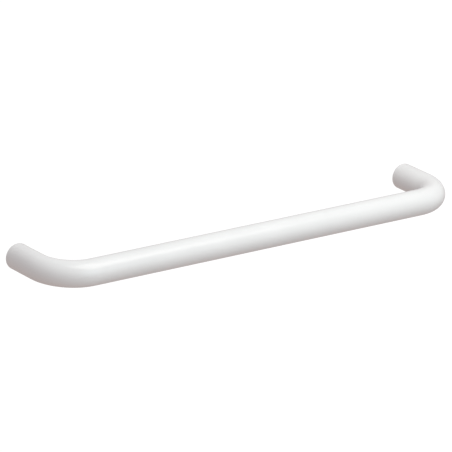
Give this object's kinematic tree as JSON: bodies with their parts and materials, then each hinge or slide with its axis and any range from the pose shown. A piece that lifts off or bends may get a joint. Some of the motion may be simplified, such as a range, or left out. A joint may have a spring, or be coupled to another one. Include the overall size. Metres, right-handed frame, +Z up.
{
  "type": "towel rail",
  "caption": "Wall-mounted towel rail: one round white tube bent back to the wall at both ends, held on hidden studs by grub screws from below.",
  "frame": {"origin": "on the wall plane, midway between the two fixing bores", "axes": "+X along the bar from the left end to the right, +Y into the wall, +Z up"},
  "size_m": [0.633, 0.1065, 0.033],
  "materials": {
    "white_gloss": "smooth moulded gloss with a faint soft ripple",
    "socket_metal": "turned",
    "screw_steel": "plain bright"
  },
  "bodies": {
    "root": {"rail_tube": "white_gloss", "left_end_socket": "socket_metal", "right_end_socket": "socket_metal", "left_grub_screw": "screw_steel", "right_grub_screw": "screw_steel"}
  },
  "joints": []
}
